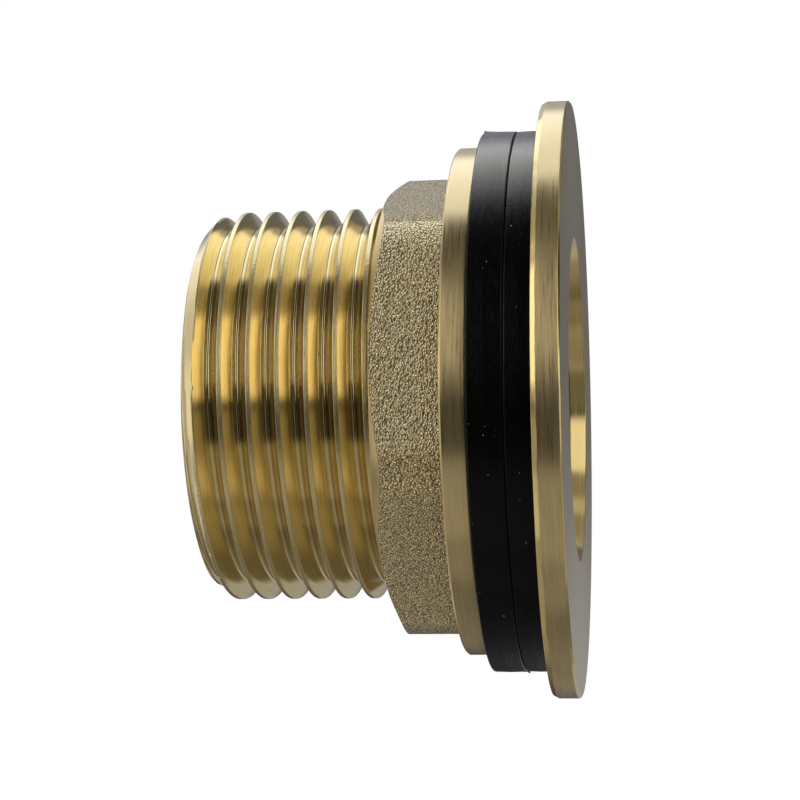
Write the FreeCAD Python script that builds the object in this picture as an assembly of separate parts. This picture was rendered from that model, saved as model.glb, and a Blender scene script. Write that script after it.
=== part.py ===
import FreeCAD
import Part
import math
import os
from FreeCAD import Vector

# Tank connector: a flanged brass tube with an outside G1 pipe thread, a one-piece
# flanged backnut and two rubber washers that clamp a tank wall between them.
# Lengths are in millimetres. The fitting stands on the outer face of its flange:
# the axis is Z, the flange face is at z = 0 and the tail points up.

# Pipe thread, G1 (ISO 228), 11 threads per inch, right hand
PITCH = 25.4 / 11
THREAD_MAJOR_D = 33.249
THREAD_DEPTH = 0.640327 * PITCH
THREAD_CLEAR_R = 0.11              # nut to tail, on the radius

# Connector body
LENGTH = 30.6
FLANGE_D = 50.0
FLANGE_T = 2.2
FLANGE_FACE_CHAMFER = 0.15
FLANGE_BACK_CHAMFER = 0.35
BORE_D = 26.5
BORE_CHAMFER = 0.3
RELIEF_D = 29.9                    # undercut between the thread and the flange
RELIEF_END = 4.3
TAIL_END_D = 30.8                  # outer diameter where the lead-in chamfer starts

# Rubber washers
WASHER_D = 45.4
WASHER_HOLE_D = 33.7
INNER_WASHER_T = 2.2
OUTER_WASHER_T = 2.8
WASHER_EDGE = 0.25

# Backnut
NUT_FLANGE_D = 42.8
NUT_FLANGE_T = 2.15
NUT_FLANGE_CHAMFER = 0.35
NUT_SEAT_CHAMFER = 0.2
HEX_AF = 35.6
HEX_CORNER_R = 5.0
HEX_H = 5.85
HEX_TURN = 14.0                    # angle of one corner from the +X direction
HEX_CHAMFER_ANGLE = 25.0
NUT_LEAD_CHAMFER = 0.4

R_MAJOR = THREAD_MAJOR_D / 2

Z_WASHER_SEAM = FLANGE_T + INNER_WASHER_T
Z_NUT = Z_WASHER_SEAM + OUTER_WASHER_T
Z_HEX = Z_NUT + NUT_FLANGE_T
Z_NUT_END = Z_HEX + HEX_H


def turned(points):
    # solid of revolution from (radius, height) points, closed in order
    line = [Vector(r, 0, z) for r, z in points]
    face = Part.Face(Part.makePolygon(line + [line[0]]))
    return face.revolve(Vector(0, 0, 0), Vector(0, 0, 1), 360)


def connector_body():
    # the outside thread is its plain major diameter here
    r_flange = FLANGE_D / 2
    r_bore = BORE_D / 2
    r_relief = RELIEF_D / 2
    r_tail = TAIL_END_D / 2
    return turned([
        (r_bore + BORE_CHAMFER, 0),
        (r_flange - FLANGE_FACE_CHAMFER, 0),
        (r_flange, FLANGE_FACE_CHAMFER),
        (r_flange, FLANGE_T - FLANGE_BACK_CHAMFER),
        (r_flange - FLANGE_BACK_CHAMFER, FLANGE_T),
        (r_relief, FLANGE_T),
        (r_relief, RELIEF_END),
        (R_MAJOR, RELIEF_END + R_MAJOR - r_relief),
        (R_MAJOR, LENGTH - (R_MAJOR - r_tail)),
        (r_tail, LENGTH),
        (r_bore + BORE_CHAMFER, LENGTH),
        (r_bore, LENGTH - BORE_CHAMFER),
        (r_bore, BORE_CHAMFER)])


def washer(z, thickness):
    r = WASHER_D / 2
    return turned([
        (WASHER_HOLE_D / 2, z),
        (r - WASHER_EDGE, z),
        (r, z + WASHER_EDGE),
        (r, z + thickness - WASHER_EDGE),
        (r - WASHER_EDGE, z + thickness),
        (WASHER_HOLE_D / 2, z + thickness)])


def hexagon(z, height):
    r_corner = HEX_AF / 2 / math.cos(math.radians(30))
    corners = []
    for k in range(6):
        a = math.radians(HEX_TURN + 60 * k)
        corners.append(Vector(r_corner * math.cos(a), r_corner * math.sin(a), z))
    prism = Part.Face(Part.makePolygon(corners + [corners[0]])).extrude(Vector(0, 0, height))
    uprights = [e for e in prism.Edges if abs(e.Vertexes[0].Z - e.Vertexes[1].Z) > height / 2]
    return prism.makeFillet(HEX_CORNER_R, uprights)


def backnut():
    r = NUT_FLANGE_D / 2
    r_hole = R_MAJOR + THREAD_CLEAR_R
    plate = turned([
        (0, Z_NUT),
        (r - NUT_SEAT_CHAMFER, Z_NUT),
        (r, Z_NUT + NUT_SEAT_CHAMFER),
        (r, Z_HEX - NUT_FLANGE_CHAMFER),
        (r - NUT_FLANGE_CHAMFER, Z_HEX),
        (0, Z_HEX)])
    # the tail-side corners of the hex are turned off by a cone that starts at the flats
    r_flat = HEX_AF / 2
    r_wide = r_flat + 4
    cone = turned([
        (0, Z_HEX - 1),
        (r_wide, Z_HEX - 1),
        (r_wide, Z_NUT_END - (r_wide - r_flat) * math.tan(math.radians(HEX_CHAMFER_ANGLE))),
        (r_flat - 0.05, Z_NUT_END),
        (0, Z_NUT_END)])
    head = hexagon(Z_HEX - 0.5, HEX_H + 0.5).common(cone)
    hole = turned([
        (0, Z_NUT - 1),
        (r_hole + NUT_LEAD_CHAMFER + 1, Z_NUT - 1),
        (r_hole, Z_NUT + NUT_LEAD_CHAMFER),
        (r_hole, Z_NUT_END + 1),
        (0, Z_NUT_END + 1)])
    return plate.fuse(head).cut(hole)


parts = {
    "connector_body": connector_body(),
    "inner_washer": washer(FLANGE_T, INNER_WASHER_T),
    "outer_washer": washer(Z_WASHER_SEAM, OUTER_WASHER_T),
    "backnut": backnut(),
}

os.makedirs("parts", exist_ok=True)
for name, shape in parts.items():
    shape = shape.Solids[0] if len(shape.Solids) == 1 else shape
    shape.exportStep("parts/" + name + ".step")
    box = shape.BoundBox
    print(name, shape.ShapeType, "valid", shape.isValid(), "solids", len(shape.Solids),
          "faces", len(shape.Faces), "volume", round(shape.Volume, 1),
          "z", round(box.ZMin, 3), round(box.ZMax, 3), "x", round(box.XMin, 3), round(box.XMax, 3))
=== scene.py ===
import math

import bpy
import numpy as np
from mathutils import Matrix, Vector


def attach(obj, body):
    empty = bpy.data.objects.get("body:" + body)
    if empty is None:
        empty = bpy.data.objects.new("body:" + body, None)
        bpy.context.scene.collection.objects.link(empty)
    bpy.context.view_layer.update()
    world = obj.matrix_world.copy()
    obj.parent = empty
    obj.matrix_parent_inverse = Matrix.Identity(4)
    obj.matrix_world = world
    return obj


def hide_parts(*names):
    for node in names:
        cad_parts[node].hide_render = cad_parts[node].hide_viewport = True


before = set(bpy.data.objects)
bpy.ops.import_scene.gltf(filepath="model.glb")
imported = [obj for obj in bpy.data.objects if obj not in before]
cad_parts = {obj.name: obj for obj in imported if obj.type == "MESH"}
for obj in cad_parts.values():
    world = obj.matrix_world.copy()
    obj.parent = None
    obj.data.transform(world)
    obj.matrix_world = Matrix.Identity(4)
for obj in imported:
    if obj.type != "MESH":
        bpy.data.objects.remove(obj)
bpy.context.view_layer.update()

MM = 0.001

# pipe thread (mm)
PITCH = 25.4 / 11
R_MAJOR = 33.249 / 2
THREAD_DEPTH = 0.640327 * PITCH
FLANK = math.radians(29.0)
CREST_EDGE_R = 0.07
ROOT_R = 0.12 * PITCH
THREAD_PHASE = 16.2                 # height of a crest at angle 0
THREAD_CLEAR = 0.11                 # the nut's thread is this much wider in radius

# connector body (mm)
LENGTH = 30.6
R_FLANGE, FLANGE_T = 25.0, 2.2
FACE_EDGE = 0.15                    # chamfer between the flange's face and its rim
RIM_EDGE, RIM_EDGE_H = 0.19, 0.40   # width and height of the worn edge on the rim's other side
R_BORE = 13.25
MOUTH, MOUTH_H = 0.38, 1.4          # the bore's mouth at the flange is this much wider, and this high
BORE_EDGE = 0.3                     # chamfer of the bore at the tail
R_RELIEF, RELIEF_END = 14.95, 4.3   # undercut between the flange and the thread
R_TAIL = 15.4
TAIL_EDGE = 0.05                    # radius of the tail's outer edge
THREAD_START = RELIEF_END + 0.02    # the thread's rows lie between these two heights
THREAD_STOP = LENGTH - 0.08

# wear of the connector body (mm)
RIM_NICKS, FACE_NICKS = 0.022, 0.018
BURR = 0.20                         # deepest bite in the tail's lead-in

# washers (mm)
R_WASHER, R_WASHER_HOLE = 22.8, 16.85
Z_SEAM, Z_NUT = 4.4, 7.2
WASHER_GAP = 0.01                   # each washer stops this far short of its neighbours
WASHER_SAG = 0.10                   # the washers hang down in their clearance, towards -X
BEAD_W, BEAD_H = 0.45, 0.22         # half width and height of a bit of flash on a washer's edge

# backnut (mm)
R_NUT_FLANGE, Z_HEX, Z_NUT_END = 21.4, 9.35, 15.2
NUT_EDGE, NUT_TOP_EDGE = 0.2, 0.14  # chamfers of the nut's flange, at the washers and at the hexagon
HEX_FLAT, HEX_CORNER = 17.8, 5.0    # distance from the axis to a flat, and the corners' radius
HEX_TURN = 14.0                     # angle of one corner (degrees)
HEX_CHAMFER = math.radians(25.0)
R_CONE_END = HEX_FLAT - 0.05        # where the cone meets the flat end
CONE_LEAN = math.radians(45.0)      # the cone is worn round, and shades as if it leaned this far
R_NUT_HOLE = R_MAJOR + THREAD_CLEAR
LEAD_LOW, LEAD_TOP = 0.42, 0.22     # lead-ins of the nut's thread, at the washers and at the flat end
LEAD_PAST = 0.05                    # they run on this far inside the thread's largest radius
NUT_ROW = 0.11                      # height between two rows of the nut's thread

NEAR = 0.01                         # points this close to a limit still belong to it (mm)


# mesh helpers
def rounded(corners):
    """Closed outline through corners (r, z, radius, steps), each rounded.

    A corner gives steps + 3 points: its arc, and a point on each side that holds the straight.
    """
    hold = 0.05
    most = 0.42                     # share of a side that one corner may use
    pts = np.array([(c[0], c[1]) for c in corners], float)
    n = len(pts)
    lengths = [np.linalg.norm(pts[(i + 1) % n] - pts[i]) for i in range(n)]
    cuts = []
    for i in range(n):
        a = pts[i - 1] - pts[i]
        b = pts[(i + 1) % n] - pts[i]
        a, b = a / np.linalg.norm(a), b / np.linalg.norm(b)
        half = math.acos(max(-1.0, min(1.0, float(a @ b)))) / 2
        t = corners[i][2] / math.tan(half)
        t = min(t, most * lengths[i - 1], most * lengths[i])
        cuts.append((a, b, half, t))
    out = []
    for i in range(n):
        a, b, half, t = cuts[i]
        straight_a = lengths[i - 1] - t - cuts[i - 1][3]
        straight_b = lengths[i] - t - cuts[(i + 1) % n][3]
        r = t * math.tan(half)
        mid = (a + b) / np.linalg.norm(a + b)
        centre = pts[i] + mid * (r / math.sin(half))
        start, end = pts[i] + a * t - centre, pts[i] + b * t - centre
        first = math.atan2(start[1], start[0])
        turn = math.atan2(end[1], end[0]) - first
        turn = (turn + math.pi) % (2 * math.pi) - math.pi
        steps = corners[i][3]
        out.append(pts[i] + a * (t + min(hold, straight_a / 3)))
        for k in range(steps + 1):
            ang = first + turn * k / steps
            out.append(centre + r * np.array([math.cos(ang), math.sin(ang)]))
        out.append(pts[i] + b * (t + min(hold, straight_b / 3)))
    return np.array(out)


def corner_starts(corners):
    """Place of each named corner's first point in the rounded outline."""
    starts, total = {}, 0
    for name, (_, _, _, steps) in corners.items():
        starts[name] = total
        total += steps + 3
    return starts


def outline_normals(outline):
    """Outward normal (r, z) at each point of a closed outline that runs anticlockwise."""
    ahead = np.roll(outline, -1, axis=0) - outline
    ahead /= np.linalg.norm(ahead, axis=1, keepdims=True)
    along = ahead + np.roll(ahead, 1, axis=0)
    along /= np.linalg.norm(along, axis=1, keepdims=True)
    return np.stack([along[:, 1], -along[:, 0]], axis=1)


def mesh_object(name, co, faces, normals=None):
    """Smooth object from points in mm. A zero normal leaves that point's own."""
    mesh = bpy.data.meshes.new(name)
    mesh.from_pydata((co * MM).tolist(), [], faces)
    mesh.validate()
    mesh.shade_smooth()
    if normals is not None:
        mesh.normals_split_custom_set_from_vertices(normals.tolist())
    obj = bpy.data.objects.new(name, mesh)
    bpy.context.scene.collection.objects.link(obj)
    return obj


def even_angles(cols):
    return np.arange(cols) * 2 * math.pi / cols


def ring_points(r, z, angles):
    """Points [column, row] of radius r and height z."""
    c, s = np.cos(angles)[:, None], np.sin(angles)[:, None]
    return np.stack([r * c, r * s, z + 0 * r], axis=-1)


def grid_object(name, r, z, angles, normals=None, shift=(0, 0, 0)):
    """Closed surface from r[column, row] and z[column, row], wrapped both ways."""
    cols, rows = r.shape
    i = np.arange(cols)[:, None]
    j = np.arange(rows)[None, :]
    i2, j2 = (i + 1) % cols, (j + 1) % rows
    quads = np.stack([i * rows + j, i2 * rows + j, i2 * rows + j2, i * rows + j2], axis=-1)
    co = ring_points(r, z, angles).reshape(-1, 3) + np.array(shift)
    if normals is not None:
        normals = normals.reshape(-1, 3)
    return mesh_object(name, co, quads.reshape(-1, 4).tolist(), normals)


def wear(angles, seed, finest=140):
    """Small uneven waves round an edge, about -1 to 1."""
    count, broadest = 14, 12
    usual_height = 4
    rng = np.random.default_rng(seed)
    waves = rng.integers(broadest, finest, count)[:, None]
    starts = rng.uniform(0, 2 * math.pi, (count, 1))
    return np.cos(waves * angles + starts).sum(axis=0) / usual_height


# thread form, measured along z from the middle of a crest
R_PITCH = R_MAJOR - THREAD_DEPTH / 2
CREST_HALF = PITCH / 4 - THREAD_DEPTH / 2 * math.tan(FLANK)
CREST_FLAT = CREST_HALF - CREST_EDGE_R * math.tan((math.pi / 2 - FLANK) / 2)
CREST_END = CREST_FLAT + CREST_EDGE_R * math.cos(FLANK)
ROOT_HALF = ROOT_R * math.cos(FLANK)
ROOT_CENTRE = R_PITCH - (PITCH / 4 - ROOT_HALF) / math.tan(FLANK) + ROOT_R * math.sin(FLANK)


def thread_radius(angle, z, offset=0.0):
    """Radius of the pipe thread at this angle and height, and its slope along z.

    The crest is flat with small round edges, and the root is round.
    """
    w = z - THREAD_PHASE - PITCH * angle / (2 * math.pi)
    w = (w + PITCH / 2) % PITCH - PITCH / 2
    sign, w = np.sign(w), np.abs(w)
    v = PITCH / 2 - w
    edge = np.clip(w - CREST_FLAT, 0, CREST_EDGE_R * math.cos(FLANK))
    depth = np.sqrt(CREST_EDGE_R ** 2 - edge ** 2)
    dip = np.clip(v, 0, ROOT_HALF)
    arch = np.sqrt(ROOT_R ** 2 - dip ** 2)
    flank = R_PITCH - (w - PITCH / 4) / math.tan(FLANK)
    on_crest, on_root = w < CREST_END, v < ROOT_HALF
    r = np.select([on_crest, on_root], [R_MAJOR - CREST_EDGE_R + depth, ROOT_CENTRE - arch], flank)
    slope = np.select([on_crest, on_root], [-edge / depth, -dip / arch], -1 / math.tan(FLANK))
    return r + offset, slope * sign


def thread_steps():
    """Places across one pitch, from crest to crest, that hold the profile's shape."""
    half = np.concatenate([
        [0.0],
        np.linspace(CREST_FLAT, CREST_END, 4),
        np.linspace(CREST_END, PITCH / 2 - ROOT_HALF, 7)[1:],
        PITCH / 2 - np.linspace(ROOT_HALF, 0, 4)[1:]])
    return np.concatenate([half, PITCH - half[-2:0:-1]])


def surface_normals(angles, r, slope_z, helical, inward=False):
    """Outward normals of r(angle, z), where helical surfaces climb one pitch a turn."""
    c, s = np.cos(angles)[:, None] + 0 * r, np.sin(angles)[:, None] + 0 * r
    slope_a = np.where(helical, -slope_z * PITCH / (2 * math.pi), 0.0)
    nr, nt, nz = np.ones_like(r), -slope_a / r, -slope_z
    n = np.stack([nr * c - nt * s, nr * s + nt * c, nz], axis=-1)
    n /= np.linalg.norm(n, axis=-1, keepdims=True)
    return -n if inward else n


# connector body
BODY_COLS = 264
TAIL_RINGS = 5                      # rings of points round the tail's outer edge
TURNED, THREADED, FACED, BORED = range(4)


def body_rings(angles):
    """The body without its thread: outline from the tail's edge through the bore to the undercut.

    Gives the outline (r, z), and its points and normals at each angle.
    """
    cols = len(angles)
    corners = {
        "mouth": (R_BORE + MOUTH, 0, 0.06, 2),
        "face edge": (R_FLANGE - FACE_EDGE, 0, 0.10, 3),
        "rim low": (R_FLANGE, FACE_EDGE, 0.10, 3),
        "rim high": (R_FLANGE, FLANGE_T - RIM_EDGE_H, 0.05, 2),
        "rim edge": (R_FLANGE - RIM_EDGE, FLANGE_T, 0.04, 2),
        "undercut foot": (R_RELIEF, FLANGE_T, 0.15, 3),
        "undercut end": (R_RELIEF, RELIEF_END, 0.02, 1),
        "thread low": (R_MAJOR, RELIEF_END + R_MAJOR - R_RELIEF, 0.02, 1),
        "thread high": (R_MAJOR, LENGTH - R_MAJOR + R_TAIL, 0.02, 1),
        "tail edge": (R_TAIL, LENGTH, TAIL_EDGE, 2),
        "bore end": (R_BORE + BORE_EDGE, LENGTH, 0.06, 2),
        "bore edge": (R_BORE, LENGTH - BORE_EDGE, 0.06, 2),
        "mouth end": (R_BORE, MOUTH_H, 0.6, 2)}
    outline = rounded(list(corners.values()))
    leaning = outline_normals(outline)
    # rows of the thread take the place of the plain major diameter
    start = corner_starts(corners)
    last, tail = start["undercut end"], start["tail edge"]
    rings = np.concatenate([outline[tail:], outline[:last + 1]])
    leaning = np.concatenate([leaning[tail:], leaning[:last + 1]])
    r = np.tile(rings[:, 0], (cols, 1))
    z = np.tile(rings[:, 1], (cols, 1))

    # nicks in the flange's two edges leave the rim and the face between them clean
    on_rim, past_edge = 0.002, 0.06
    off_rim = rings[:, 0] < R_FLANGE - on_rim
    upper = rings[:, 1] > FLANGE_T / 2
    rim_edge = off_rim & upper & (rings[:, 0] > R_FLANGE - RIM_EDGE - past_edge)
    face_edge = off_rim & ~upper & (rings[:, 0] > R_FLANGE - FACE_EDGE)
    r -= rim_edge * (RIM_NICKS * wear(angles, seed=3))[:, None]
    r -= face_edge * (FACE_NICKS * wear(angles, seed=8))[:, None]

    # the groove runs out through the tail's end, each ring a little deeper than the one before
    ring_step = 0.01
    groove = thread_radius(angles, LENGTH - TAIL_EDGE)[0]
    bottom = groove[:, None] - ring_step * np.arange(TAIL_RINGS)
    r[:, :TAIL_RINGS] = np.minimum(r[:, :TAIL_RINGS], bottom)
    grooved = groove < R_TAIL + TAIL_EDGE

    side = np.stack([np.cos(angles), np.sin(angles)], axis=1)
    normals = np.empty((cols, len(rings), 3))
    normals[..., :2] = side[:, None, :] * leaning[None, :, :1]
    normals[..., 2] = leaning[:, 1]
    normals[:, rim_edge | face_edge] = 0.0
    normals[grooved, :TAIL_RINGS] = 0.0
    return rings, ring_points(r, z, angles), normals


def ring_kind(low, high):
    """Which brass lies between two neighbouring rings (r, z)."""
    if max(low[1], high[1]) < NEAR:
        return FACED
    in_bore = max(low[0], high[0]) < R_BORE + MOUTH + NEAR
    past_edge, below_edge = 0.5, 0.04
    on_rim_edge = low[1] > FLANGE_T - RIM_EDGE_H + below_edge
    on_edge = low[0] > R_FLANGE - past_edge and (on_rim_edge or high[1] < FACE_EDGE + NEAR)
    return BORED if in_bore or on_edge else TURNED


def body_thread(angles):
    """Points and normals of the thread, which rows are kept, and how many rows make a turn.

    The rows climb with the helix, and those between the undercut and the tail are kept.
    """
    steps = thread_steps()
    low = math.floor((RELIEF_END - THREAD_PHASE) / PITCH) - 2
    high = math.ceil((LENGTH - THREAD_PHASE) / PITCH) + 1
    rows = (PITCH * np.arange(low, high)[:, None] + steps[None, :]).ravel() + THREAD_PHASE
    z = rows[None, :] + PITCH * angles[:, None] / (2 * math.pi)
    kept = (z > THREAD_START) & (z < THREAD_STOP)
    r, slope = thread_radius(angles[:, None], z)
    bite_from, clean_end = 0.5, 0.5
    bites = np.clip(wear(angles, seed=5, finest=90) - bite_from, 0, 1)[:, None]
    burr = BURR * bites * np.clip(LENGTH - clean_end - z, 0, 1)
    lead = R_TAIL + LENGTH - z - burr
    run_out = R_RELIEF + (z - RELIEF_END)
    core = np.minimum(np.minimum(r, lead), run_out)
    on_lead, on_run_out = lead <= core, run_out <= core
    slope = np.select([on_lead, on_run_out], [-1.0, 1.0], slope)
    normals = surface_normals(angles, core, slope, helical=~(on_lead | on_run_out))
    return ring_points(core, z, angles), normals, kept, len(steps)


def connector():
    """The body, and the brass on each of its faces."""
    angles = even_angles(BODY_COLS)
    rings, ring_co, ring_normals = body_rings(angles)
    thread_co, thread_normals, kept, per_turn = body_thread(angles)
    n_rings = len(rings)
    ids = np.full(kept.shape, -1)
    ids[kept] = BODY_COLS * n_rings + np.arange(kept.sum())

    ring_kinds = [ring_kind(rings[k], rings[k + 1]) for k in range(n_rings - 1)]
    faces, kinds = [], []
    for i in range(BODY_COLS):
        j = (i + 1) % BODY_COLS
        a, b = i * n_rings, j * n_rings
        faces += [(a + k, b + k, b + k + 1, a + k + 1) for k in range(n_rings - 1)]
        kinds += ring_kinds
        # after a whole turn the thread has climbed one pitch of rows
        climb = per_turn if j == 0 else 0
        mine, other = np.flatnonzero(kept[i]), np.flatnonzero(kept[j]) - climb
        start, end = max(mine[0], other[0]), min(mine[-1], other[-1])
        m, o = ids[i], np.roll(ids[j], -climb)
        strip = [(m[g], o[g], o[g + 1], m[g + 1]) for g in range(start, end)]
        # a face with many corners joins each end of the strip to the rings
        low_end = (*o[other[0]:start + 1], *m[mine[0]:start + 1][::-1])
        tail_end = (*o[end:other[-1] + 1], b, a, *m[end + 1:mine[-1] + 1][::-1])
        strip.append((a + n_rings - 1, b + n_rings - 1, *low_end))
        strip.append((m[end], *tail_end))
        faces += [tuple(int(v) for v in face) for face in strip]
        kinds += [THREADED] * len(strip)
    points = np.concatenate([ring_co.reshape(-1, 3), thread_co[kept]])
    normals = np.concatenate([ring_normals.reshape(-1, 3), thread_normals[kept]])
    return mesh_object("tank_connector_body", points, faces, normals), kinds


# washers
WASHER_COLS = 480


def rubber_washer(name, z0, z1, phase, beads=()):
    """Washer with a cut edge that bulges in its middle and wanders a little.

    A bead (angle, side, reach) is a bit of flash on the upper edge for side 1, the lower for -1.
    """
    angles = even_angles(WASHER_COLS)
    edge, middle = R_WASHER - 0.06, R_WASHER - 0.02
    low, high = z0 + WASHER_GAP, z1 - WASHER_GAP
    outline = rounded([
        (R_WASHER_HOLE, low, 0.1, 2),
        (edge, low, 0.14, 4),
        (middle, (z0 + z1) / 2, 2.0, 3),
        (edge, high, 0.14, 4),
        (R_WASHER_HOLE, high, 0.1, 2)])
    r = np.tile(outline[:, 0], (len(angles), 1))
    z = np.tile(outline[:, 1], (len(angles), 1))
    cut_depth = 0.3
    inset = 0.04                    # keeps the wandering edge inside the full radius
    outer = r > R_WASHER - cut_depth
    wander = 0.028 * np.sin(3 * angles + phase) + 0.016 * np.sin(7 * angles + 2 * phase)
    r = np.where(outer, r - inset + wander[:, None], r)
    for angle, side, reach in beads:
        near_edge = np.exp(-((z - (z0 if side < 0 else z1)) / BEAD_H) ** 2) * outer
        aside = (angles - math.radians(angle) + math.pi) % (2 * math.pi) - math.pi
        r += reach * near_edge * np.exp(-(aside * R_WASHER / BEAD_W) ** 2)[:, None]
    return grid_object(name, r, z, angles, shift=(-WASHER_SAG, 0, 0))


# backnut
HEX_CENTRE = (HEX_FLAT - HEX_CORNER) / math.cos(math.pi / 6)            # radius of the corners' centres
HEX_TANGENT = math.atan2(HEX_CENTRE * math.sin(math.pi / 6), HEX_FLAT)  # half angle of a flat
CORNER_COLS, FLAT_COLS = 14, 26     # columns of points on each corner and on each flat
ARC_END = 4                         # where the arc ends, in the points of a corner with 3 steps
NUT_BLASTED, NUT_THREADED = 1, 2    # material slots, after turned brass


def hex_radius(angle):
    """Radius of the rounded hexagon at this angle."""
    from_corner = abs((angle - math.radians(HEX_TURN) + math.pi / 6) % (math.pi / 3) - math.pi / 6)
    from_flat = math.pi / 6 - from_corner
    if from_flat < HEX_TANGENT:
        return HEX_FLAT / math.cos(from_flat)
    aside = HEX_CENTRE * math.sin(from_corner)
    return HEX_CENTRE * math.cos(from_corner) + math.sqrt(HEX_CORNER ** 2 - aside ** 2)


def nut_angles():
    """Angles of the nut's columns, which follow the hexagon's corners and flats."""
    half_corner = math.pi / 6 - HEX_TANGENT
    on_corner = np.linspace(-half_corner, half_corner, CORNER_COLS + 1)[:-1]
    on_flat = half_corner + np.linspace(0, math.pi / 3 - 2 * half_corner, FLAT_COLS + 1)[:-1]
    corners = [math.radians(HEX_TURN + 60 * k) for k in range(6)]
    return np.concatenate([corner + part for corner in corners for part in (on_corner, on_flat)])


def nut_corners(angle):
    """Corners of the nut's outline at this angle. The last two bound the thread."""
    r_hex = hex_radius(angle)
    z_hex_top = Z_NUT_END - max(r_hex - R_CONE_END, 0.0) * math.tan(HEX_CHAMFER)
    return {
        "hole at the washers": (R_NUT_HOLE + LEAD_LOW, Z_NUT, 0.05, 2),
        "flange face": (R_NUT_FLANGE - NUT_EDGE, Z_NUT, 0.08, 3),
        "flange rim low": (R_NUT_FLANGE, Z_NUT + NUT_EDGE, 0.08, 3),
        "flange rim high": (R_NUT_FLANGE, Z_HEX - NUT_TOP_EDGE, 0.08, 3),
        "flange top": (R_NUT_FLANGE - NUT_TOP_EDGE, Z_HEX, 0.08, 3),
        "hexagon foot": (r_hex, Z_HEX, 0.16, 3),
        "hexagon top": (r_hex, z_hex_top, 0.12, 3),
        "cone end": (R_CONE_END, Z_NUT_END, 0.04, 2),
        "hole at the end": (R_NUT_HOLE + LEAD_TOP, Z_NUT_END, 0.04, 2),
        "thread top": (R_NUT_HOLE - LEAD_PAST, Z_NUT_END - LEAD_TOP - LEAD_PAST, 0.02, 1),
        "thread low": (R_NUT_HOLE - LEAD_PAST, Z_NUT + LEAD_LOW + LEAD_PAST, 0.02, 1)}


def backnut():
    """The nut, and the brass on each of its faces."""
    angles = nut_angles()
    cols = len(angles)
    columns = np.array([rounded(list(nut_corners(angle).values())) for angle in angles])
    start = corner_starts(nut_corners(0.0))

    # the thread's rows go between the last two corners
    past_corner = 0.03
    highest = Z_NUT_END - LEAD_TOP - LEAD_PAST - past_corner
    lowest = Z_NUT + LEAD_LOW + LEAD_PAST + past_corner
    rows = np.arange(highest, lowest, -NUT_ROW)
    z_thread = np.tile(rows, (cols, 1))
    r_thread, slope = thread_radius(angles[:, None], z_thread, THREAD_CLEAR)
    lead_top = R_NUT_HOLE + LEAD_TOP - (Z_NUT_END - z_thread)
    lead_low = R_NUT_HOLE + LEAD_LOW - (z_thread - Z_NUT)
    core = np.maximum(np.maximum(r_thread, lead_top), lead_low)
    on_top, on_low = lead_top >= core, lead_low >= core
    slope = np.select([on_top, on_low], [1.0, -1.0], slope)
    thread_normals = surface_normals(angles, core, slope, helical=~(on_top | on_low), inward=True)
    before, after = columns[:, :start["thread low"] - 2], columns[:, start["thread low"] + 2:]
    r = np.concatenate([before[..., 0], core, after[..., 0]], axis=1)
    z = np.concatenate([before[..., 1], z_thread, after[..., 1]], axis=1)

    normals = np.zeros((*r.shape, 3))
    thread_row = before.shape[1]
    normals[:, thread_row + 1:thread_row + len(rows) - 1] = thread_normals[:, 1:-1]
    level, upright = math.cos(CONE_LEAN), math.sin(CONE_LEAN)
    lean = np.stack([level * np.cos(angles), level * np.sin(angles), upright + 0 * angles], axis=1)
    normals[:, start["hexagon top"] + ARC_END:start["cone end"] + 2] = lean[:, None, :]

    kinds = np.full(r.shape[1], TURNED)
    kinds[start["flange top"] + ARC_END:start["hexagon top"] + ARC_END] = NUT_BLASTED
    kinds[start["thread top"] + 1:] = NUT_THREADED
    return grid_object("backnut_detail", r, z, angles, normals), np.tile(kinds, cols)


# node helpers
class Nodes:
    """Short names for building a node tree."""

    def __init__(self, tree):
        self.tree = tree

    def new(self, kind, **props):
        node = self.tree.nodes.new(kind)
        for key, value in props.items():
            setattr(node, key, value)
        return node

    def put(self, socket, value):
        if isinstance(value, bpy.types.NodeSocket):
            self.tree.links.new(value, socket)
        else:
            socket.default_value = value

    def math(self, op, *values):
        node = self.new("ShaderNodeMath", operation=op)
        for socket, value in zip(node.inputs, values):
            self.put(socket, value)
        return node.outputs[0]

    def vector(self, x, y, z):
        node = self.new("ShaderNodeCombineXYZ")
        for socket, value in zip(node.inputs, (x, y, z)):
            self.put(socket, value)
        return node.outputs[0]

    def noise(self, vector, w, scale, detail, rough):
        """Noise at a place in mm. Another w gives another pattern."""
        node = self.new("ShaderNodeTexNoise", noise_dimensions="4D")
        self.put(node.inputs["Vector"], vector)
        self.put(node.inputs["W"], w)
        self.put(node.inputs["Scale"], scale)
        self.put(node.inputs["Detail"], detail)
        self.put(node.inputs["Roughness"], rough)
        return node.outputs["Fac"]

    def remap(self, value, old, new, smooth=False):
        """Value moved from the range old to the range new, and kept inside it."""
        kind = "SMOOTHSTEP" if smooth else "LINEAR"
        node = self.new("ShaderNodeMapRange", interpolation_type=kind)
        for name, v in zip(("Value", "From Min", "From Max", "To Min", "To Max"), (value, *old, *new)):
            self.put(node.inputs[name], v)
        return node.outputs["Result"]

    def mix(self, fac, a, b, mode="MIX"):
        colour_a, colour_b, colour_out = 6, 7, 2
        node = self.new("ShaderNodeMix", data_type="RGBA", blend_type=mode)
        self.put(node.inputs["Factor"], fac)
        self.put(node.inputs[colour_a], a)
        self.put(node.inputs[colour_b], b)
        return node.outputs[colour_out]

    def bump(self, height, distance):
        node = self.new("ShaderNodeBump")
        self.put(node.inputs["Height"], height)
        self.put(node.inputs["Distance"], distance)
        self.put(node.inputs["Strength"], 1.0)
        return node.outputs["Normal"]


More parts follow.
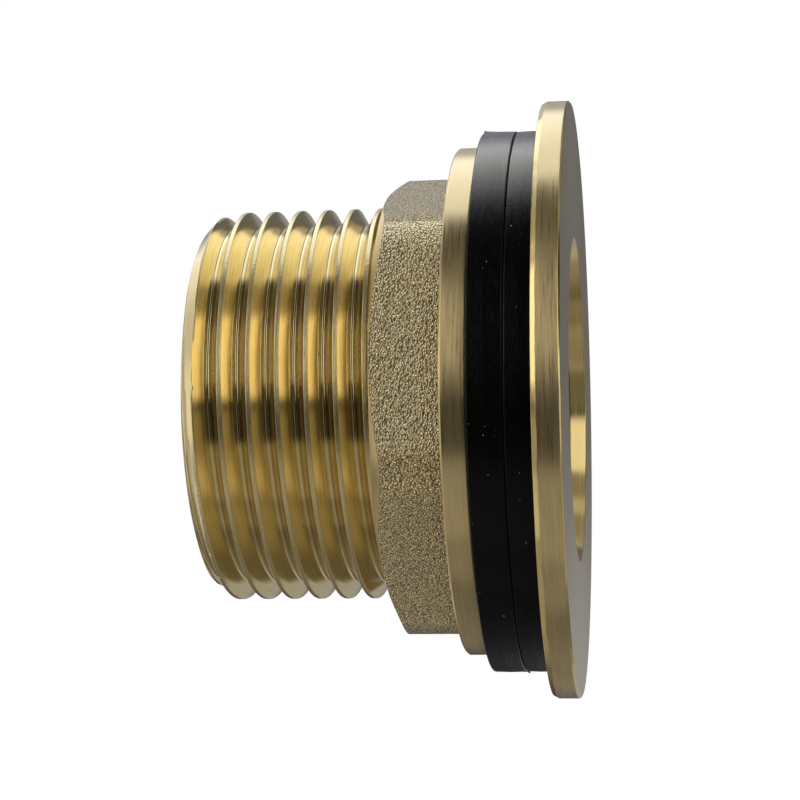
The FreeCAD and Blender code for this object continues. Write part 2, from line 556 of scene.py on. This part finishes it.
def material(name):
    """New material, its node helper, its shader and the object's coordinates in mm."""
    mat = bpy.data.materials.new(name)
    mat.use_nodes = True
    n = Nodes(mat.node_tree)
    shader = mat.node_tree.nodes["Principled BSDF"]
    coord = n.new("ShaderNodeTexCoord").outputs["Object"]
    scale = n.new("ShaderNodeVectorMath", operation="SCALE")
    n.put(scale.inputs[0], coord)
    scale.inputs["Scale"].default_value = 1 / MM
    return mat, n, shader, scale.outputs[0]


def lathe_coordinates(n, mm, across, along):
    """Coordinates and a fourth one in which noise draws lines round Z, and the radius.

    Across sets how close the lines are, and along how fast they change on their way round.
    """
    xyz = n.new("ShaderNodeSeparateXYZ")
    n.put(xyz.inputs[0], mm)
    x, y, z = xyz.outputs
    rad = n.math("SQRT", n.math("ADD", n.math("MULTIPLY", x, x), n.math("MULTIPLY", y, y)))
    around = n.vector(
        n.math("MULTIPLY", rad, across), n.math("MULTIPLY", z, across), n.math("MULTIPLY", x, along))
    return around, n.math("MULTIPLY", y, along), rad


# materials
BRASS = (0.85, 0.65, 0.32, 1.0)
BRASS_DULL = (0.76, 0.57, 0.275, 1.0)
BRASS_LINE = (0.55, 0.41, 0.19, 1.0)
BRASS_SPECK = (0.07, 0.045, 0.015, 1.0)
BRASS_THREAD = (0.87, 0.71, 0.36, 1.0)
BRASS_FACE = (0.86, 0.71, 0.43, 1.0)
BRASS_BORE = (0.88, 0.67, 0.26, 1.0)
BRASS_GRAIN, BRASS_PIT_SHADE = (0.84, 0.68, 0.37, 1.0), (0.34, 0.26, 0.13, 1.0)
RUBBER_DARK, RUBBER_PALE = (0.0007, 0.0006, 0.0005, 1.0), (0.0024, 0.0021, 0.0018, 1.0)
DUST = (0.30, 0.27, 0.21, 1.0)


def brass_turned(name, lines, roughness, line_depth, spread,
                 stain=0.35, colour=BRASS, crest=None, specks=0.0):
    """Brass with fine turning lines round Z. From the radius crest on it is rougher and dented."""
    crest_rough, crest_depth = 0.14, 12.0
    mat, n, shader, mm = material(name)
    around, w, rad = lathe_coordinates(n, mm, lines, 0.05)
    fine = n.noise(around, w, scale=4.0, detail=3.0, rough=0.6)
    broad = n.noise(around, w, scale=1.1, detail=2.0, rough=0.5)
    cloud = n.noise(mm, w=0.0, scale=0.35, detail=3.0, rough=0.6)
    tone = n.mix(n.remap(cloud, (0.35, 0.75), (0.0, stain)), colour, BRASS_DULL)
    tone = n.mix(n.remap(fine, (0.38, 0.62), (0.36, 0.0)), tone, BRASS_LINE)
    if specks:
        spots = n.noise(mm, w=7.0, scale=2.6, detail=1.0, rough=0.5)
        tone = n.mix(n.remap(spots, (0.76, 0.80), (0.0, specks)), tone, BRASS_SPECK)
    rough = n.remap(fine, (0.25, 0.75), (roughness * 0.75, roughness * 1.3))
    height = n.math("ADD", n.math("MULTIPLY", fine, 0.4), n.math("MULTIPLY", broad, 0.6))
    depth = line_depth * MM
    if crest:
        on_crest = n.remap(rad, (crest - 0.06, crest - 0.02), (0.0, 1.0))
        rough = n.math("ADD", rough, n.math("MULTIPLY", on_crest, crest_rough))
        depth = n.remap(on_crest, (0.0, 1.0), (depth, crest_depth * depth))
        dents = n.noise(mm, w=3.0, scale=4.5, detail=2.0, rough=0.6)
        height = n.math("ADD", height, n.math("MULTIPLY", on_crest, dents))
    n.put(shader.inputs["Base Color"], tone)
    shader.inputs["Metallic"].default_value = 1.0
    n.put(shader.inputs["Roughness"], rough)
    shader.inputs["Anisotropic"].default_value = spread
    shader.inputs["Anisotropic Rotation"].default_value = 0.25
    tangent = n.new("ShaderNodeTangent", direction_type="RADIAL", axis="Z").outputs[0]
    n.put(shader.inputs["Tangent"], tangent)
    n.put(shader.inputs["Normal"], n.bump(height, depth))
    return mat


def brass_blasted():
    """Brass with the coarse grain that blasting leaves: small round bumps, with shade painted into the pits
    between them.
    """
    mat, n, shader, mm = material("brass_blasted")
    drift = n.new("ShaderNodeTexNoise")
    n.put(drift.inputs["Vector"], mm)
    drift.inputs["Scale"].default_value = 3.0
    bent = n.new("ShaderNodeVectorMath", operation="MULTIPLY_ADD")
    n.put(bent.inputs[0], drift.outputs["Color"])
    bent.inputs[1].default_value = (0.16, 0.16, 0.16)
    n.put(bent.inputs[2], mm)
    grains = n.new("ShaderNodeTexVoronoi", feature="F1")
    n.put(grains.inputs["Vector"], bent.outputs[0])
    grains.inputs["Scale"].default_value = 5.8
    gap = grains.outputs["Distance"]
    # painted shade: the base colour darkens in the pits between the grains
    pit_shade = n.remap(gap, (0.35, 0.75), (0.0, 0.9))
    broad = n.noise(mm, w=0.0, scale=2.7, detail=2.0, rough=0.6)
    uneven = n.math("MULTIPLY", broad, 1.1)
    fall = n.math("MULTIPLY", n.math("MULTIPLY", gap, gap), 1.2)
    n.put(shader.inputs["Base Color"], n.mix(pit_shade, BRASS_GRAIN, BRASS_PIT_SHADE))
    shader.inputs["Metallic"].default_value = 1.0
    shader.inputs["Roughness"].default_value = 0.07
    n.put(shader.inputs["Normal"], n.bump(n.math("SUBTRACT", uneven, fall), 0.24 * MM))
    return mat


def rubber():
    """Black rubber with faint lines round Z and a few grains of dust."""
    mat, n, shader, mm = material("black_rubber")
    around, w, _ = lathe_coordinates(n, mm, 3.0, 0.12)
    lines = n.noise(around, w, scale=3.6, detail=3.0, rough=0.65)
    mottle = n.noise(mm, w=0.0, scale=2.4, detail=3.0, rough=0.6)
    tone = n.mix(n.remap(mottle, (0.3, 0.8), (0.0, 1.0)), RUBBER_DARK, RUBBER_PALE)
    grains = n.noise(mm, w=5.0, scale=4.0, detail=0.0, rough=0.5)
    dust = n.remap(grains, (0.825, 0.85), (0.0, 0.8))
    height = n.math("ADD", n.math("MULTIPLY", lines, 0.7), n.math("MULTIPLY", mottle, 0.3))
    n.put(shader.inputs["Base Color"], n.mix(dust, tone, DUST))
    n.put(shader.inputs["Roughness"], n.remap(lines, (0.3, 0.7), (0.18, 0.27)))
    shader.inputs["Specular IOR Level"].default_value = 0.15
    n.put(shader.inputs["Normal"], n.bump(height, 0.035 * MM))
    return mat


turned = brass_turned("brass_turned", lines=1.6, roughness=0.31, line_depth=0.006, spread=0.88)
threaded = brass_turned("brass_thread", lines=2.2, roughness=0.16, line_depth=0.003, spread=0.6,
                        stain=0.2, colour=BRASS_THREAD, crest=R_MAJOR, specks=0.8)
faced = brass_turned("brass_faced", lines=1.5, roughness=0.18, line_depth=0.002, spread=0.5,
                     stain=0.4, colour=BRASS_FACE)
bored = brass_turned("brass_bored", lines=1.5, roughness=0.2, line_depth=0.006, spread=0.6,
                     stain=0.3, colour=BRASS_BORE)
blasted = brass_blasted()
black = rubber()

# pieces
body, body_kinds = connector()
for mat in (turned, threaded, faced, bored):
    body.data.materials.append(mat)
body.data.polygons.foreach_set("material_index", np.array(body_kinds, np.int32))
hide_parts("connector_body")
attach(body, "connector")

inner = rubber_washer("inner_washer_rubber", FLANGE_T, Z_SEAM, phase=0.4)
outer = rubber_washer("outer_washer_rubber", Z_SEAM, Z_NUT, phase=1.7,
                      beads=((-178, -1, 0.34), (-8, 1, 0.22)))
for obj, node, carrier in ((inner, "inner_washer", "connector"), (outer, "outer_washer", "washer")):
    obj.data.materials.append(black)
    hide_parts(node)
    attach(obj, carrier)

nut, nut_kinds = backnut()
for mat in (turned, blasted, threaded):
    nut.data.materials.append(mat)
nut.data.polygons.foreach_set("material_index", nut_kinds.astype(np.int32))
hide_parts("backnut")
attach(nut, "nut")

# studio
FLOOR_RADIUS, FLOOR_Z = 0.5, 0.05 * MM          # the floor shares no plane with the flange's face
FLOOR_FADE = (0.16, 0.45)                       # it fades out between these radii
FLOOR_COLOUR = (0.86, 0.86, 0.855, 1.0)
SKY_LIGHT, SKY_SEEN = 0.78, 1.0                 # the world's strength on surfaces, and as it is seen
CARD_RADIUS = 0.6
CARD_LEVEL = 0.015                              # light of the cards between the softboxes

# Softboxes and cards round the part, by direction in degrees.
# Azimuth 0 is the camera's side and 90 is +X. Height is above the horizon.
# name: azimuth, half width, soft edge, height, half height, soft edge, light
SOFTBOXES = {
    "top": (114, 22, 8, 14, 15, 10, (1.22, 1.37, 1.68)),
    "top spill": (140, 12, 24, 27, 20, 12, (0.30, 0.32, 0.36)),
    "top high": (142, 14, 14, 56, 16, 10, (0.30, 0.30, 0.30)),
    "back high": (178, 42, 14, 64, 26, 12, (0.44, 0.44, 0.44)),
    "back": (168, 20, 16, 20, 16, 8, (0.22, 0.22, 0.22)),
    "behind": (196, 50, 24, -15, 14, 6, (0.135, 0.135, 0.135)),
    "behind low": (-152, 14, 16, -14, 10, 6, (0.21, 0.21, 0.21)),
    "below": (-95, 60, 15, -68, 14, 8, (0.35, 0.35, 0.35)),
    "below top": (98, 38, 8, -32, 20, 8, (0.25, 0.25, 0.25)),
    "below top core": (91, 5, 5, -27, 14, 6, (0.30, 0.30, 0.30)),
    "tail side": (35, 27, 7, 45, 12, 10, (1.50, 1.50, 1.50)),
    "tail side shelf": (78, 15, 5, 45, 16, 10, (0.40, 0.40, 0.40)),
    "tail side spill": (32, 12, 14, 28, 12, 7, (0.37, 0.37, 0.37)),
    "flange side": (37, 20, 4, -50, 30, 6, (1.10, 1.10, 1.10)),
    "front": (-10, 14, 8, -30, 12, 4, (0.16, 0.16, 0.16)),
    "front left": (-42, 16, 6, 0, 32, 8, (0.16, 0.16, 0.16)),
    "front left wide": (-54, 26, 6, 0, 32, 8, (0.11, 0.11, 0.11)),
    "front left high": (-34, 26, 8, 53, 16, 8, (0.34, 0.34, 0.34)),
    "lower left": (-100, 48, 20, 49, 13, 16, (0.30, 0.30, 0.30)),
    "lower right": (-105, 20, 45, -11, 39, 10, (0.14, 0.14, 0.14)),
}

scene = bpy.context.scene
scene.view_settings.view_transform = "Standard"


def stage_object(name, mesh, mat):
    obj = bpy.data.objects.new(name, mesh)
    scene.collection.objects.link(obj)
    obj.data.materials.append(mat)
    return obj


def empty_material(name):
    mat = bpy.data.materials.new(name)
    mat.use_nodes = True
    mat.node_tree.nodes.clear()
    return mat, Nodes(mat.node_tree)


def floor_mesh():
    steps = 96
    rim = [(FLOOR_RADIUS * math.cos(a), FLOOR_RADIUS * math.sin(a), FLOOR_Z) for a in even_angles(steps)]
    mesh = bpy.data.meshes.new("studio_floor")
    mesh.from_pydata(rim, [], [tuple(range(steps))])
    return mesh


def floor_material():
    """Pale and matt from above, clear from below and towards its rim."""
    mat, n = empty_material("studio_floor")
    diffuse = n.new("ShaderNodeBsdfDiffuse")
    diffuse.inputs["Color"].default_value = FLOOR_COLOUR
    clear = n.new("ShaderNodeBsdfTransparent")
    length = n.new("ShaderNodeVectorMath", operation="LENGTH")
    n.put(length.inputs[0], n.new("ShaderNodeTexCoord").outputs["Object"])
    fade = n.remap(length.outputs["Value"], FLOOR_FADE, (0.0, 1.0), smooth=True)
    below = n.new("ShaderNodeNewGeometry").outputs["Backfacing"]
    mix = n.new("ShaderNodeMixShader")
    n.put(mix.inputs[0], n.math("MAXIMUM", fade, below))
    n.put(mix.inputs[1], diffuse.outputs[0])
    n.put(mix.inputs[2], clear.outputs[0])
    out = n.new("ShaderNodeOutputMaterial")
    n.put(out.inputs[0], mix.outputs[0])
    return mat


def card_mesh():
    """Shell round the part, open at the very top and bottom."""
    cols, rows = 72, 32
    lowest, highest = math.radians(-80), math.radians(74)
    points, faces = [], []
    for j in range(rows + 1):
        up = lowest + (highest - lowest) * j / rows
        level, height = CARD_RADIUS * math.cos(up), CARD_RADIUS * math.sin(up)
        points += [(level * math.cos(a), level * math.sin(a), height) for a in even_angles(cols)]
    for j in range(rows):
        for i in range(cols):
            k = (i + 1) % cols
            faces.append((j * cols + i, (j + 1) * cols + i, (j + 1) * cols + k, j * cols + k))
    mesh = bpy.data.meshes.new("studio_cards")
    mesh.from_pydata(points, [], faces)
    mesh.shade_smooth()
    return mesh


def soft_step(n, distance, half, soft):
    return n.remap(distance, (half, half + soft), (1.0, 0.0), smooth=True)


def card_material():
    """Light sent by the cards in each direction: dark between the softboxes."""
    mat, n = empty_material("studio_cards")
    unit = n.new("ShaderNodeVectorMath", operation="NORMALIZE")
    n.put(unit.inputs[0], n.new("ShaderNodeTexCoord").outputs["Object"])
    xyz = n.new("ShaderNodeSeparateXYZ")
    n.put(xyz.inputs[0], unit.outputs[0])
    x, y, z = xyz.outputs
    azimuth = n.math("DEGREES", n.math("ARCTAN2", x, n.math("MULTIPLY", y, -1.0)))
    height = n.math("DEGREES", n.math("ARCSINE", z))
    total = (CARD_LEVEL, CARD_LEVEL, CARD_LEVEL, 1.0)
    for turn, half, soft, up, half_up, soft_up, light in SOFTBOXES.values():
        apart = n.math("SUBTRACT", azimuth, float(turn))
        aside = n.math("ABSOLUTE", n.math("WRAP", apart, 180.0, -180.0))
        above = n.math("ABSOLUTE", n.math("SUBTRACT", height, float(up)))
        share = n.math("MULTIPLY", soft_step(n, aside, half, soft), soft_step(n, above, half_up, soft_up))
        total = n.mix(share, total, (*light, 1.0), mode="ADD")
    emit = n.new("ShaderNodeEmission")
    n.put(emit.inputs["Color"], total)
    out = n.new("ShaderNodeOutputMaterial")
    n.put(out.inputs[0], emit.outputs[0])
    mat.cycles.emission_sampling = "NONE"
    return mat


def area(name, place, target, size, power):
    """Square lamp that isn't seen in reflections."""
    data = bpy.data.lights.new(name, "AREA")
    data.shape = "SQUARE"
    data.size = size
    data.energy = power
    obj = bpy.data.objects.new(name, data)
    scene.collection.objects.link(obj)
    obj.location = place
    obj.rotation_euler = (Vector(target) - Vector(place)).to_track_quat("-Z", "Y").to_euler()
    obj.visible_glossy = False
    return obj


floor = stage_object("studio_floor", floor_mesh(), floor_material())
floor.visible_glossy = False
cards = stage_object("studio_cards", card_mesh(), card_material())
cards.visible_camera = False
cards.visible_diffuse = False
cards.visible_shadow = False
cards.visible_transmission = False
cards.visible_volume_scatter = False

# white background, seen by camera, glossy and transmission rays
world = bpy.data.worlds.new("studio")
scene.world = world
world.use_nodes = True
world.node_tree.nodes.clear()
n = Nodes(world.node_tree)
path = n.new("ShaderNodeLightPath")
reflected = n.math("MAXIMUM", path.outputs["Is Glossy Ray"], path.outputs["Is Transmission Ray"])
seen = n.math("MAXIMUM", path.outputs["Is Camera Ray"], reflected)
background = n.new("ShaderNodeBackground")
background.inputs["Color"].default_value = (1.0, 1.0, 1.0, 1.0)
n.put(background.inputs["Strength"], n.remap(seen, (0.0, 1.0), (SKY_LIGHT, SKY_SEEN)))
out = n.new("ShaderNodeOutputWorld")
n.put(out.inputs[0], background.outputs[0])

area("key", place=(0.25, -0.22, 0.50), target=(0, 0, 0.015), size=0.35, power=1.4)

# the black rubber shows the top softbox at its full strength
sheen = area("rubber_softbox", place=(0.45, 0.21, 0.07), target=(0, 0, 0.005), size=0.34, power=1.3)
sheen.visible_glossy = True
sheen.visible_camera = False
sheen.data.color = (1.0, 0.95, 0.82)
rubber_only = bpy.data.collections.new("rubber_only")
for obj in (inner, outer):
    rubber_only.objects.link(obj)
sheen.light_linking.receiver_collection = rubber_only

# camera, from the part's -Z and its origin in camera coordinates (x right, y down)
axis = Vector((0.99022405, -0.01954644, -0.13810963))
place = Vector((15.0388, -0.0415, 169.05)) * MM
up = Vector((0, -1, 0))
world_x = (up - axis * up.dot(axis)).normalized()
world_z = -axis
world_y = world_z.cross(world_x)
turn = Matrix((world_x, world_y, world_z))      # from camera coordinates to the part's frame
location = -(turn @ place)
right = turn @ Vector((1, 0, 0))
upward = turn @ Vector((0, -1, 0))
back = turn @ Vector((0, 0, -1))
cam_data = bpy.data.cameras.new("camera")
cam_data.sensor_width = 36.0
cam_data.lens = 90.0
cam_data.clip_start = 0.01
cam_data.clip_end = 20.0
cam = bpy.data.objects.new("camera", cam_data)
scene.collection.objects.link(cam)
pose = Matrix((right, upward, back)).transposed().to_4x4()
pose.translation = location
cam.matrix_world = pose
scene.camera = cam

bpy.context.view_layer.update()
